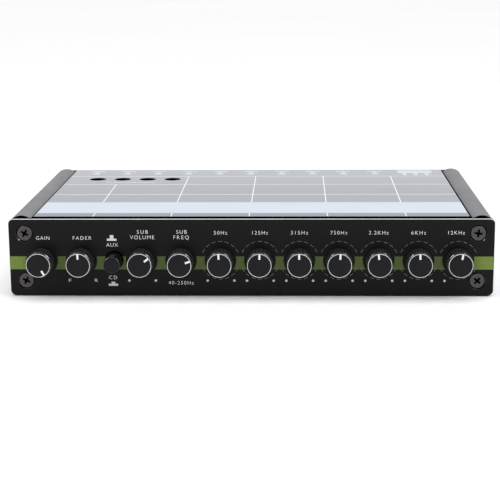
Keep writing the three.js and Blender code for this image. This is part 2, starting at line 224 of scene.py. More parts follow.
M = {
    "panel": make_material("black_anodised", srgb(15, 15, 17), 0.42, grain=2600, bump=0.1, bump_depth=0.02,
                           specular=0.13),
    # Painted shade: a near-black laid on gaps, hollows, hole walls and end faces where shade falls.
    "painted_shade": make_material("painted_shade_black", srgb(7, 7, 8), 0.9, grain=1400, specular=0.0),
    # Painted highlight: near white for the front plate's eased top edge, standing for the light it catches.
    "edge_glint": make_material("painted_edge_highlight", srgb(222, 223, 225), 0.35, 0.2, grain=2600, vary=0.15),
    "rail": make_material("blasted_grey_rail", srgb(139, 139, 143), 0.55, 0.25, grain=1500, vary=0.1,
                          bump=0.35, bump_depth=0.06),
    "cover": cover_paint_with_painted_shade(),
    "band": make_material("pale_print", srgb(202, 209, 219), 0.5, grain=1500, vary=0.02, specular=0.06),
    "line": make_material("white_print", srgb(236, 238, 242), 0.5, grain=1500, vary=0.03, specular=0.06),
    "dull_line": make_material("grey_print", srgb(212, 215, 220), 0.5, grain=1500, vary=0.03, specular=0.06),
    "faint": make_material("faint_print", srgb(206, 209, 218), 0.5, grain=1500, vary=0.04, specular=0.06),
    "tag": make_material("tag_print", srgb(206, 211, 220), 0.5, grain=1500, vary=0.03, specular=0.06),
    "legend": make_material("legend_print", srgb(250, 251, 253), 0.5, grain=3000, vary=0.04),
    "mark": make_material("mark_print", srgb(208, 210, 214), 0.5, grain=3000, vary=0.06),
    "scale": make_material("scale_print", srgb(152, 150, 136), 0.5, grain=3000, vary=0.1, specular=0.2),
    "green": green_ink_with_painted_shade(),
    "knob": make_material("knob_plastic", srgb(15, 15, 16), 0.26, grain=2400, vary=0.1, bump=0.12,
                          bump_depth=0.02, specular=0.6),
    # Painted highlight: a lighter grey for the knobs' rib crests, standing for the light they catch; the
    # grooves keep the knob's own black.
    "rib_crest_light": make_material("painted_rib_highlight", srgb(46, 46, 49), 0.3, grain=2400, vary=0.15, bump=0.12,
                         bump_depth=0.02, specular=0.4),
    "knob_face": make_material("knob_face_plastic", srgb(19, 19, 22), 0.5, grain=3600, vary=0.3, bump=0.35,
                               bump_depth=0.03, specular=0.15),
    "gloss": make_material("knob_shoulder_plastic", srgb(18, 18, 20), 0.16, grain=1800, vary=0.1, bump=0.04,
                           bump_depth=0.01, specular=1.0),
    "ring": make_material("knob_bright_edge", srgb(228, 229, 232), 0.28, 0.35, grain=2600, vary=0.05),
    "screw": make_material("black_nickel", srgb(80, 76, 75), 0.42, 0.6, grain=2600, vary=0.3, bump=0.4,
                           bump_depth=0.04),
    "black_steel": make_material("black_powder_coat", srgb(26, 26, 28), 0.5, grain=2000, bump=0.4,
                                 bump_depth=0.08, specular=0.25),
    "nickel": make_material("nickel_plate", srgb(205, 203, 198), 0.2, 1.0, grain=900, vary=0.05, bump=0.04,
                            bump_depth=0.01),
    "steel": make_material("plated_steel", srgb(170, 172, 176), 0.32, 0.9, grain=900, vary=0.1,
                           stretch=(1, 1, 12), bump=0.1, bump_depth=0.02),
    "black_plastic": make_material("black_moulding", srgb(24, 24, 26), 0.42, grain=1600, vary=0.1,
                                   specular=0.3),
    "red_plastic": make_material("red_insulator", srgb(168, 24, 26), 0.35, grain=1400, vary=0.08),
    "white_plastic": make_material("white_insulator", srgb(222, 220, 212), 0.38, grain=1400, vary=0.04),
    "terminal": make_material("terminal_moulding", srgb(34, 104, 58), 0.45, grain=1400, vary=0.08),
    "board": make_material("solder_mask", srgb(22, 88, 48), 0.35, grain=500, vary=0.2),
    "brass": make_material("tinned_contact", srgb(200, 190, 150), 0.3, 0.9, grain=900, vary=0.1),
    "sleeve": make_material("capacitor_sleeve", srgb(32, 34, 52), 0.3, grain=700, vary=0.1),
}

# ---------------------------------------------------------------- mesh helpers (all sizes in millimetres)


def place(name, mesh, body, replaces=(), matrix=None):
    """Adds a piece that rides on a body of the frame and stands in for some of its nodes."""
    obj = bpy.data.objects.new(name, mesh)
    bpy.context.scene.collection.objects.link(obj)
    if matrix is not None:
        obj.matrix_world = matrix
    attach(obj, body)
    if replaces:
        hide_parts(*replaces)


def shade(mesh, angle=32):
    for polygon in mesh.polygons:
        polygon.use_smooth = True
    mesh.set_sharp_from_angle(angle=math.radians(angle))


def keep_flat(mesh, direction):
    """Shades the faces square to a direction as truly flat, so that their eased edges don't tint them."""
    for polygon in mesh.polygons:
        if abs(polygon.normal.dot(direction)) > 0.9999:
            polygon.use_smooth = False


def back_to_mm(bm):
    """Scales what was made in metres up to the millimetres that to_mesh starts from."""
    bmesh.ops.scale(bm, vec=(1 / MM,) * 3, verts=bm.verts)


def to_mesh(bm, name, materials, angle=32):
    """Ends a bmesh: millimetres become metres, faces turn outwards, and edges over the angle stay sharp."""
    bmesh.ops.remove_doubles(bm, verts=bm.verts, dist=1e-4)
    bmesh.ops.recalc_face_normals(bm, faces=bm.faces)
    bmesh.ops.scale(bm, vec=(MM, MM, MM), verts=bm.verts)
    mesh = bpy.data.meshes.new(name)
    bm.to_mesh(mesh)
    bm.free()
    for material in materials:
        mesh.materials.append(M[material])
    shade(mesh, angle)
    return mesh


def evaluated(obj):
    """The object's mesh with its modifiers applied; the object itself is removed."""
    bpy.context.view_layer.update()
    graph = bpy.context.evaluated_depsgraph_get()
    mesh = bpy.data.meshes.new_from_object(obj.evaluated_get(graph))
    data = obj.data
    bpy.data.objects.remove(obj)
    (bpy.data.curves if isinstance(data, bpy.types.Curve) else bpy.data.meshes).remove(data)
    return mesh


def temporary(data):
    obj = bpy.data.objects.new("temporary", data)
    bpy.context.scene.collection.objects.link(obj)
    return obj


def lathe(bm, profile, steps=48, centre=(0, 0, 0), radius=None, material=0):
    """Turns (radius, y) pairs about the Y axis. radius(r, y, angle) may change a ring's radius."""
    rings = []
    for r, y in profile:
        ring = []
        for i in range(steps if r > 0 else 1):
            angle = 2 * math.pi * i / steps
            reach = radius(r, y, angle) if radius and r > 0 else r
            across, up = reach * math.sin(angle), reach * math.cos(angle)
            ring.append(bm.verts.new((centre[0] + across, centre[1] + y, centre[2] + up)))
        rings.append(ring)
    for a, b in zip(rings, rings[1:]):
        for i in range(steps):
            j = (i + 1) % steps
            corners = [a[i % len(a)], a[j % len(a)], b[j % len(b)], b[i % len(b)]]
            unique = list(dict.fromkeys(corners))
            if len(unique) > 2:
                bm.faces.new(unique).material_index = material


def block(bm, low, high, bevel=0.0, segments=2):
    """A box between two corners, with rounded edges."""
    size = Vector(high) - Vector(low)
    centre = (Vector(high) + Vector(low)) / 2
    matrix = Matrix.Translation(centre) @ Matrix.Diagonal((*size, 1))
    verts = bmesh.ops.create_cube(bm, size=1.0, matrix=matrix)["verts"]
    if bevel:
        edges = list(dict.fromkeys(e for v in verts for e in v.link_edges))
        bmesh.ops.bevel(bm, geom=edges, offset=bevel, segments=segments, profile=0.5, affect="EDGES")


def prism(bm, outline, axis, start, end):
    """A polygon made solid along one axis. outline holds pairs of the other two coordinates, in the order
    X, Y, Z."""
    def corner(a, b, c):
        return {"x": (c, a, b), "y": (a, c, b), "z": (a, b, c)}[axis]
    first = [bm.verts.new(corner(a, b, start)) for a, b in outline]
    last = [bm.verts.new(corner(a, b, end)) for a, b in outline]
    count = len(outline)
    sides = [(first[i], first[(i + 1) % count], last[(i + 1) % count], last[i]) for i in range(count)]
    for corners in (first, last, *sides):
        bm.faces.new(corners)


def circle_points(x, z, radius, steps=48, start=0.0, sweep=360.0):
    count = steps if sweep == 360 else steps + 1
    return [(x + radius * math.cos(math.radians(start + sweep * i / steps)),
             z + radius * math.sin(math.radians(start + sweep * i / steps))) for i in range(count)]


def rounded_rectangle(x0, x1, z0, z1, radius, steps=8):
    corners = [(x1 - radius, z0 + radius, -90), (x1 - radius, z1 - radius, 0),
               (x0 + radius, z1 - radius, 90), (x0 + radius, z0 + radius, 180)]
    return [p for x, z, start in corners for p in circle_points(x, z, radius, steps, start, 90)]


def sheet(name, outline, holes, thickness, bevel, matrix, material, cutters=None):
    """A plate with holes and eased edges. The outline is in its own XY plane, which is halfway through it.
    matrix lays that plane in the object, and cutters is one more shape to take out."""
    curve = bpy.data.curves.new(name, "CURVE")
    curve.dimensions = "2D"
    curve.fill_mode = "BOTH"
    curve.extrude = (thickness / 2 - bevel) * MM
    curve.bevel_depth = bevel * MM
    curve.bevel_resolution = 1
    curve.offset = -bevel * MM
    for loop in (outline, *holes):
        spline = curve.splines.new("POLY")
        spline.points.add(len(loop) - 1)
        for point, (a, b) in zip(spline.points, loop):
            point.co = (a * MM, b * MM, 0, 1)
        spline.use_cyclic_u = True
    mesh = evaluated(temporary(curve))
    mesh.transform(matrix)
    bm = bmesh.new()
    bm.from_mesh(mesh)
    bmesh.ops.remove_doubles(bm, verts=bm.verts, dist=1e-7)
    bmesh.ops.recalc_face_normals(bm, faces=bm.faces)
    bm.to_mesh(mesh)
    bm.free()
    if cutters:
        mesh = cut(mesh, cutters)
    mesh.materials.clear()
    mesh.materials.append(M[material])
    shade(mesh, 32)
    keep_flat(mesh, (matrix.to_3x3() @ Vector((0, 0, 1))).normalized())
    mesh.name = name
    return mesh


def recolour(mesh, material, test):
    """Gives a material to every face whose centre (in millimetres) and normal pass a test."""
    index = mesh.materials.find(M[material].name)
    if index < 0:
        mesh.materials.append(M[material])
        index = len(mesh.materials) - 1
    for polygon in mesh.polygons:
        if test(polygon.center / MM, polygon.normal):
            polygon.material_index = index


def cut(mesh, cutter):
    """The mesh with another mesh's shape taken out of it."""
    obj, tool = temporary(mesh), temporary(cutter)
    modifier = obj.modifiers.new("cut", "BOOLEAN")
    modifier.operation = "DIFFERENCE"
    modifier.solver = "EXACT"
    modifier.use_self = True
    modifier.object = tool
    made = evaluated(obj)
    bpy.data.objects.remove(tool)
    bpy.data.meshes.remove(cutter)
    return made


# A drawing's X and Y become X and Z here, and it faces -Y.
FRONT_PLANE = Matrix(((1, 0, 0, 0), (0, 0, -1, 0), (0, 1, 0, 0), (0, 0, 0, 1)))


def front_plane(y):
    return Matrix.Translation((0, y * MM, 0)) @ FRONT_PLANE


def level_plane(z):
    return Matrix.Translation((0, 0, z * MM))


INK = 0.03  # thickness of printed ink
OUTLINE_SHIFT = -0.03  # how far the letters' outlines move out; a negative value thins their strokes
CAP_HEIGHT = 0.73  # height of a capital letter in the font, for a size of 1


def print_shapes(name, loops, plane, material):
    """Flat inked shapes, each a polygon with a little thickness, lying on a plane of the object."""
    bm = bmesh.new()
    for loop in loops:
        prism(bm, loop, "z", -INK / 2, INK / 2)
    bmesh.ops.recalc_face_normals(bm, faces=bm.faces)
    mesh = to_mesh(bm, name, [material], 40)
    mesh.transform(plane)
    place(name, mesh, CHASSIS)


def letters(text, height, spacing):
    curve = bpy.data.curves.new("letters", "FONT")
    curve.body = text
    curve.size = height / CAP_HEIGHT * MM
    curve.space_character = spacing
    curve.extrude = INK / 2 * MM
    curve.offset = OUTLINE_SHIFT * MM
    curve.resolution_u = 3
    return evaluated(temporary(curve))


def width_mm(mesh):
    """The mesh's width in millimetres, and the X of its middle in metres."""
    xs = [v.co.x for v in mesh.vertices]
    return (max(xs) - min(xs)) / MM, (max(xs) + min(xs)) / 2


def print_text(name, words, plane, material):
    """words holds (text, x, y, cap height, width), with x and y at the middle of the letters. The letters
    are spaced out until the word is that wide."""
    bm = bmesh.new()
    for text, x, y, height, width in words:
        spacing = 1.0
        if len(text) > 1:
            narrow, wide = (width_mm(letters(text, height, k))[0] for k in (1.0, 1.3))
            spacing = 1.0 + 0.3 * (width - narrow) / (wide - narrow)
        mesh = letters(text, height, min(max(spacing, 0.9), 1.4))
        natural, middle = width_mm(mesh)
        mesh.transform(Matrix.Translation((x * MM, y * MM, 0)) @ Matrix.Diagonal((width / natural, 1, 1, 1))
                       @ Matrix.Translation((-middle, -height / 2 * MM, 0)))
        bm.from_mesh(mesh)
    back_to_mm(bm)
    mesh = to_mesh(bm, name, [material], 40)
    mesh.transform(plane)
    place(name, mesh, CHASSIS)


# ---------------------------------------------------------------- front panel

SHAFT_HOLE = 3.5  # radius of the holes behind the knobs
BUTTON_HOLE = 3.4
CORNER = 2.0  # radius of both end plates' corners
EASED = 0.24  # eased edge of the front plate
SCREW_X = 84.0
SCREW_Z = {"lower": 5.95, "upper": 23.95}
SCREW_PLACES = [(x, z) for x in (-SCREW_X, SCREW_X) for z in SCREW_Z.values()]
SINK_TOP, SINK_LOW = 3.15, 1.7  # radius of a countersink at the plate's face and at its foot


def countersinks():
    """The four cones, pointing into the front plate, that are taken out of it."""
    cones = bmesh.new()
    depth = SINK_TOP - SINK_LOW
    profile = [(0, -1), (SINK_TOP + 1.12, -1), (SINK_TOP + 0.02, 0.1), (SINK_LOW, depth), (SINK_LOW, 4),
               (0, 4)]
    for x, z in SCREW_PLACES:
        lathe(cones, profile, 40, (x, FACE_Y, z))
    return to_mesh(cones, "cones", ["panel"])


def front_panel():
    outline = rounded_rectangle(PANEL_LOW.x, PANEL_HIGH.x, PANEL_LOW.z, PANEL_HIGH.z, CORNER)
    holes = [circle_points(CONTROL_X[c], CONTROL_Z, SHAFT_HOLE) for c in CONTROLS]
    holes.append(circle_points(BUTTON_X, CONTROL_Z, BUTTON_HOLE, 64))
    thickness = PANEL_HIGH.y - PANEL_LOW.y
    plane = front_plane(FACE_Y + thickness / 2)
    mesh = sheet("front_plate", outline, holes, thickness, EASED, plane, "panel", countersinks())

    def from_screw(centre):
        return min(math.hypot(abs(centre.x) - SCREW_X, centre.z - z) for z in SCREW_Z.values())

    top = PANEL_HIGH.z - CORNER
    # Painted light: the top face behind the edge is black as the shadow gap to the cover, the eased top
    # front edge is near white as a painted highlight, and the walls of the holes and countersinks are black
    # as painted shade.
    recolour(mesh, "painted_shade", lambda c, n: n.z > 0.5 and c.z > top and n.y > -0.3)
    recolour(mesh, "edge_glint", lambda c, n: n.z > 0.3 and c.z > top and n.y < -0.3)
    recolour(mesh, "painted_shade", lambda c, n: abs(n.y) < 0.95 and abs(c.z - CONTROL_Z) < 4 and abs(c.x) < SCREW_X)
    recolour(mesh, "gloss", lambda c, n: abs(n.y) < 0.95 and from_screw(c) < SINK_TOP + 0.25)
    recolour(mesh, "painted_shade", lambda c, n: abs(n.y) < 0.95 and from_screw(c) < SINK_TOP - 0.05)
    place("front_plate", mesh, CHASSIS, ["front_panel"])


DISC = 5.9  # radius of the unprinted disc round each knob
BUTTON_DISC = 3.5
STRIPE = (10.3, 15.25)  # the green stripe's lower and upper edge
SOURCE_X = -51.5  # middle of the two button symbols
DOT_RADIUS, DOT_Z = 0.46, 6.0


def stripe_loops():
    """The green stripe, broken by a disc at each control."""
    stops = sorted([(CONTROL_X[c], DISC) for c in CONTROLS] + [(BUTTON_X, BUTTON_DISC)])
    low, high = STRIPE
    heights = [low + (high - low) * i / 12 for i in range(13)]

    def disc_side(stop, side):
        x, radius = stop
        return [(x + side * math.sqrt(max(radius ** 2 - (z - CONTROL_Z) ** 2, 0.01)), z) for z in heights]

    first, last = PANEL_LOW.x + EASED, PANEL_HIGH.x - EASED
    lefts = [[(first, z) for z in STRIPE]] + [disc_side(stop, 1) for stop in stops]
    rights = [disc_side(stop, -1) for stop in stops] + [[(last, z) for z in STRIPE]]
    return [right + left[::-1] for left, right in zip(lefts, rights)]


def ring_dash(x, z, radius, width, middle, sweep, steps=6):
    inner = circle_points(x, z, radius - width / 2, steps, middle - sweep / 2, sweep)
    outer = circle_points(x, z, radius + width / 2, steps, middle - sweep / 2, sweep)
    return inner + outer[::-1]


RING = {"radius": 7.2, "width": 0.09, "dashes": 18, "sweep": 12.5}


def scale_rings():
    """A dashed ring round each band's knob, open at the two sides."""
    radius, width, count, sweep = RING.values()
    return [ring_dash(CONTROL_X[c], CONTROL_Z, radius, width, 90 + 360 * i / count, sweep)
            for c in BANDS for i in range(count) if not 3 < i % 9 < 6]


def scale_dots():
    """A dot at each end of a scale; the last scale's right one would be under a screw."""
    left, right = -4.85, 5.1
    places = [(c, side) for c in ["sub_volume"] + BANDS for side in (left, right)]
    places.remove((BANDS[-1], right))
    return [circle_points(CONTROL_X[c] + side, DOT_Z, DOT_RADIUS, 20) for c, side in places]


def button_icon(x, z, foot, step, top):
    """A button seen from the side: a foot of some half width and height, and a narrower cap on it."""
    cap = 0.7
    outline = [(-foot, 0), (foot, 0), (foot, step), (cap, step), (cap, top), (-cap, top), (-cap, step),
               (-foot, step)]
    return [(x + a, z + b) for a, b in outline]


def legends():
    """Each word with its place, cap height and width."""
    x = CONTROL_X
    words = [
        ("GAIN", x["gain"] + 0.5, 22.3, 1.45, 5.0),
        ("FADER", x["fader"] + 0.5, 22.3, 1.45, 6.9),
        ("SUB", x["sub_volume"] + 0.5, 24.6, 1.5, 4.1),
        ("VOLUME", x["sub_volume"] + 0.3, 22.55, 1.5, 9.0),
        ("SUB", x["sub_frequency"] + 0.4, 24.6, 1.5, 3.9),
        ("FREQ", x["sub_frequency"] + 0.2, 22.55, 1.5, 5.7),
        ("40-250Hz", x["sub_frequency"] - 0.1, 5.2, 1.45, 9.4),
        ("F", -67.5, 6.1, 1.35, 1.0),
        ("R", -57.7, 6.1, 1.35, 1.1),
        ("AUX", SOURCE_X + 0.1, 19.7, 1.5, 4.4),
        ("CD", SOURCE_X + 0.1, 7.25, 1.45, 3.0),
    ]
    labels = ("50Hz", "125Hz", "315Hz", "750Hz", "2.2KHz", "6KHz", "12KHz")
    widths = (4.9, 5.8, 6.3, 6.2, 7.2, 5.4, 6.1)
    offsets = (0.15, 0.15, 0, -0.1, -0.1, -0.1, -0.85)
    return words + [(t, x[c] + o, 24.3, 1.45, w) for t, c, o, w in zip(labels, BANDS, offsets, widths)]


def front_print():
    on_face = front_plane(FACE_Y - INK / 2)
    over_green = front_plane(FACE_Y - INK)
    print_shapes("green_stripe", stripe_loops(), on_face, "green")
    print_shapes("scale_dashes", scale_rings(), over_green, "scale")
    print_shapes("scale_dots", scale_dots(), on_face, "mark")
    button_out = button_icon(SOURCE_X, 21.2, 1.8, 0.8, 2.15)
    button_in = button_icon(SOURCE_X + 0.15, 3.95, 1.75, 0.85, 1.6)
    print_shapes("source_icons", [button_out, button_in], on_face, "mark")
    print_text("legends", legends(), on_face, "legend")


# ---------------------------------------------------------------- screws

CROSS = {"arm": 1.6, "half_width": 0.44, "depth": 1.3}
HEAD = 2.75  # radius of a screw's head
PAN_HEIGHT = 1.8


def cross_cutter():
    """A tapered cross recess, cut from a face at y = 0 towards +Y."""
    arm, half_width, depth = CROSS.values()
    bm = bmesh.new()
    for a, b in ((arm, half_width), (half_width, arm)):
        top = [bm.verts.new((sx * a, -0.3, sz * b)) for sx, sz in ((-1, -1), (1, -1), (1, 1), (-1, 1))]
        low = [bm.verts.new((v.co.x * 0.6, depth, v.co.z * 0.6)) for v in top]
        for i in range(4):
            bm.faces.new((top[i], top[(i + 1) % 4], low[(i + 1) % 4], low[i]))
        bm.faces.new(top[::-1])
        bm.faces.new(low)
    return to_mesh(bm, "cross", ["screw"])


def screw_mesh(name, profile):
    bm = bmesh.new()
    lathe(bm, profile, 48)
    mesh = cut(to_mesh(bm, name, ["screw"], 30), cross_cutter())
    mesh.name = name
    mesh.materials.clear()
    mesh.materials.append(M["screw"])
    arm, depth = CROSS["arm"], CROSS["depth"]

    def in_cross(centre, normal):
        wall = abs(centre.x) < arm and abs(centre.z) < arm and 0.05 < centre.y < depth + 0.05
        return wall and abs(normal.y) < 0.99 or abs(centre.y - depth) < 0.05 and normal.y < -0.9

    # Painted shade: the cross recess's walls and floor are black.
    recolour(mesh, "painted_shade", in_cross)
    shade(mesh, 30)
    return mesh


def threaded(profile, start, end, pitch=0.5, crest=1.2, root=0.98):
    """The profile with the ridges of a machine thread added between two positions."""
    ridges, y = [], start
    while y + pitch <= end:
        ridges += [(crest, y), (root, y + pitch / 2)]
        y += pitch
    return profile + ridges + [(crest, end - 0.2), (0.8, end), (0, end)]


def screws():
    flat_head = [(0, 0), (HEAD - 0.1, 0), (HEAD, 0.08), (1.35, 1.4), (1.2, 1.55)]
    pan_head = [(0, 0), (1.2, 0.02), (2.0, 0.22), (2.5, 0.6), (2.72, 1.1), (HEAD, PAN_HEIGHT),
                (1.2, PAN_HEIGHT)]
    front = screw_mesh("countersunk_screw", threaded(flat_head, 1.8, 10))
    rear = screw_mesh("pan_screw", threaded(pan_head, 2.0, 11.8))
    for corner, turn in SCREWS.items():
        z = SCREW_Z[corner.split("_")[0]]
        x = SCREW_X if corner.endswith("right") else -SCREW_X
        spin = Matrix.Rotation(math.radians(turn), 4, "Y")
        at_front = Matrix.Translation(Vector((x, FACE_Y + 0.15, z)) * MM) @ spin
        place("countersunk_screw_" + corner, front, CHASSIS, ["front_screw_" + corner], at_front)
        flip = Matrix.Rotation(math.pi, 4, "Z")
        at_rear = Matrix.Translation(Vector((x, REAR_Y + 0.05 + PAN_HEIGHT, z)) * MM) @ flip @ spin
        place("pan_screw_" + corner, rear, CHASSIS, ["rear_screw_" + corner], at_rear)


# ---------------------------------------------------------------- knobs

KNOB = {"tip": 9.0, "gap": 0.6, "ribs": 30, "rib_depth": 0.24}


def knob_mesh():
    """A tapered knob with rounded ribs; y = 0 is the panel's face and the pointer is straight up."""
    tip, gap = KNOB["tip"], KNOB["gap"]
    rib_start, rib_end = -tip + 2.1, -gap - 1.2

    def ribbed(r, y, angle):
        if not rib_start <= y <= rib_end or r < 4:
            return r
        wave = 0.5 + 0.5 * math.cos(KNOB["ribs"] * angle)
        ease = min(1.0, (y - rib_start) / 0.5, (rib_end - y) / 0.35)
        return r - KNOB["rib_depth"] * (1 - wave ** 0.6) * max(ease, 0)

    face = [(0, -tip + 0.08), (2.0, -tip + 0.08), (4.1, -tip + 0.07)]
    rim = [(4.42, -tip + 0.2), (4.45, -tip + 0.32), (4.46, -tip + 1.1), (4.52, -tip + 1.22)]
    shoulder = [(4.66, -tip + 1.3), (4.76, -tip + 1.42), (4.82, -tip + 1.6), (4.83, -tip + 1.85)]
    grip = [(4.82 + 0.06 * i / 6, rib_start + (rib_end - rib_start) * i / 6) for i in range(7)]
    skirt = [(4.93, -gap - 1.05), (4.93, -gap - 0.15), (4.82, -gap)]
    bore = [(3.3, -gap), (3.3, -6.9), (0, -6.9)]
    bm = bmesh.new()
    lathe(bm, face + rim + shoulder + grip + skirt + bore, 8 * KNOB["ribs"], radius=ribbed)
    mesh = to_mesh(bm, "knob", ["knob"], 35)
    recolour(mesh, "knob_face", lambda c, n: n.y < -0.9 and c.y < -tip + 0.15)
    recolour(mesh, "gloss", lambda c, n: -tip + 1.2 < c.y < -tip + 1.9)
    # Painted highlight: the rib crests are lighter than the grooves.
    recolour(mesh, "rib_crest_light", lambda c, n: rib_start < c.y < rib_end and math.hypot(c.x, c.z) > 4.78)
    return mesh


def knob_trim_mesh():
    """The bright ring round the knob's tip and its pointer."""
    tip = KNOB["tip"]
    bm = bmesh.new()
    lathe(bm, [(4.24, -tip + 0.04), (4.26, -tip), (4.37, -tip), (4.41, -tip + 0.05), (4.43, -tip + 0.2),
               (4.24, -tip + 0.2), (4.24, -tip + 0.04)], 96)
    block(bm, (-0.36, -tip + 0.01, 2.3), (0.36, -tip + 0.2, 4.22), 0.05, 1)
    return to_mesh(bm, "knob_trim", ["ring"], 35)


def knobs():
    body, trim = knob_mesh(), knob_trim_mesh()
    for name in CONTROLS:
        spin = Matrix.Rotation(math.radians(POINTER[name]), 4, "Y")
        at = Matrix.Translation(Vector((CONTROL_X[name], FACE_Y, CONTROL_Z)) * MM) @ spin
        rider = name + "_control"
        place(name + "_ribbed_knob", body, rider, [name + "_knob"], at)
        place(name + "_pointer", trim, rider, (), at)


def source_button():
    low, high = box_mm("source_button_cap")
    reach, radius = FACE_Y - low.y, 3.05
    inner = high.y - FACE_Y
    bm = bmesh.new()
    rounded_face = [(0, -reach), (2.84, -reach), (2.94, -reach + 0.03), (3.02, -reach + 0.1)]
    sides = [(radius, -reach + 0.22), (radius, inner), (1.9, inner), (1.9, -0.9), (0, -0.9)]
    lathe(bm, rounded_face + sides, 64)
    mesh = to_mesh(bm, "button_cap", ["knob"], 35)
    rim = -reach + 0.4
    recolour(mesh, "knob_face", lambda c, n: n.y < -0.97 and c.y < 0)
    # The rim's upper half is glossy so it catches glints; the lower half gets a duller plastic so the
    # floor's reflection stays off it.
    recolour(mesh, "gloss", lambda c, n: n.y >= -0.97 and c.y < rim and c.z > 0)
    recolour(mesh, "black_plastic", lambda c, n: n.y >= -0.97 and c.y < rim and c.z <= 0)
    at = Matrix.Translation(Vector((BUTTON_X, FACE_Y, CONTROL_Z)) * MM)
    place("round_button", mesh, "source_button", ["source_button_cap"], at)


# ---------------------------------------------------------------- rails and covers

SOFT_EDGE = 0.12  # eased edge of the rails and covers
RAIL_LIP, RAIL_OUTER = 82.0, 89.0  # how far out the rail's inner wall and its outer face are
RAIL_GROOVE_TOP = 28.2
RAIL_BORE = 1.5  # radius of the screw holes in the rails' ends


def rail_outline():
    """Cross-section of the right rail as (x, z), running round the outside and then the inside."""
    lip, outer, crown, radius = RAIL_LIP, RAIL_OUTER, 30.4, 5.5
    crown_x, crown_z = (outer + lip) / 2, crown - radius
    start = 90 - math.degrees(math.asin((outer - crown_x) / radius))
    foot = circle_points(outer - 0.8, 0.8, 0.8, 5, -90, 90)
    top = circle_points(crown_x, crown_z, radius, 28, start, 180 - 2 * start)
    cover_groove = [(lip, RAIL_GROOVE_TOP), (84.2, RAIL_GROOVE_TOP), (84.2, 26.9), (81.2, 26.9)]
    wall = [(81.2, 21.2), (87.2, 21.2), (87.2, 8.6), (79.8, 8.6)]
    board_groove = [(79.8, 6.9), (81.2, 6.9), (81.2, 4.9), (79.8, 4.9)]
    base_groove = [(79.8, 3.2), (84.2, 3.2), (84.2, 1.9), (lip, 1.9), (lip, 0.0)]
    inside = cover_groove + wall + board_groove + base_groove
    return foot + top + inside


def rails():
    for side, sign in (("right", 1), ("left", -1)):
        node = side + "_side_rail"
        low, high = box_mm(node)
        outline = [(sign * x, z) for x, z in rail_outline()]
        holes = [circle_points(sign * SCREW_X, z, RAIL_BORE, 24) for z in SCREW_Z.values()]
        length = high.y - low.y
        mesh = sheet(side + "_rail", outline, holes, length, SOFT_EDGE, front_plane(0), "rail")
        # The ends, the grooves and the wall beside the cover are painted black as shade; the outside and the
        # crown stay grey.
        recolour(mesh, "painted_shade", lambda c, n: abs(n.y) > 0.95)
        recolour(mesh, "painted_shade", lambda c, n: abs(c.x) < RAIL_OUTER - 1 and c.z < RAIL_GROOVE_TOP - 0.1)
        recolour(mesh, "painted_shade", lambda c, n: abs(c.x) < RAIL_LIP + 0.2 and abs(n.x) > 0.95)
        place(side + "_rail", mesh, CHASSIS, [node])


HOLES = [(-68.3 + 10.74 * i, 29.2) for i in range(4)]  # the access holes in the top cover
HOLE_RADIUS = 3.5
COVER_HALF = 81.05  # half the width of the visible top sheet
BASE_HALF = 81.6
SHEET = 1.5  # thickness of both covers
FLANGE_X = (79.5, 83.9)  # where a flange starts under the sheet and where it ends in the rail's groove


def rectangle(x0, x1, y0, y1):
    return [(x0, y0), (x1, y0), (x1, y1), (x0, y1)]


def cover_with_flanges(skin, half, sheet_z, inside_z, outside_z, y0, y1):
    """A cover's sheet and its two flanges. They step from sheet_z to the rails' grooves, where their faces
    are at inside_z and outside_z."""
    bm = bmesh.new()
    bm.from_mesh(skin)
    back_to_mm(bm)
    inner, outer = FLANGE_X
    edge = half - 0.1
    step = [(inner, sheet_z), (inner, inside_z), (outer, inside_z), (outer, outside_z), (edge, outside_z),
            (edge, sheet_z)]
    for sign in (-1, 1):
        prism(bm, [(sign * x, z) for x, z in step], "y", y0, y1)
    return bm


def top_cover():
    lip = COVER_HALF
    y0, y1 = COVER_LOW.y, COVER_HIGH.y
    z1 = COVER_HIGH.z
    holes = [circle_points(x, y, HOLE_RADIUS, 40) for x, y in HOLES]
    middle = level_plane(z1 - SHEET / 2)
    skin = sheet("cover_skin", rectangle(-lip, lip, y0, y1), holes, SHEET, SOFT_EDGE, middle, "cover")
    bm = cover_with_flanges(skin, lip, z1 - SHEET + 0.1, 27.1, 28.0, y0, y1)
    mesh = to_mesh(bm, "silver_cover", ["cover"], 32)
    keep_flat(mesh, Vector((0, 0, 1)))
    # Painted shade: the sheet's side edges, the walls of its holes and flanges, and its front edge are
    # black, standing for shadow gaps.
    recolour(mesh, "painted_shade", lambda c, n: abs(c.x) > lip - 0.05 or abs(n.z) < 0.3 and abs(c.y) < y1 - 1)
    recolour(mesh, "painted_shade", lambda c, n: n.y < -0.3 and c.y < y0 + 0.2)
    place("silver_cover", mesh, CHASSIS, ["top_cover"])


# The printed diagram, in distances back from the front plate's face.
BAND_FRONT, BAND_BACK = 9.5, 31.0
ROWS = (47.7, 70.8, 90.8)
ROW_WIDTH = 1.0
COLUMN = 0.19  # half the width of a line that runs from front to back


def print_on_cover(name, loops, material, over=False):
    plane = level_plane(COVER_HIGH.z + (INK if over else INK / 2))
    print_shapes(name, loops, plane, material)


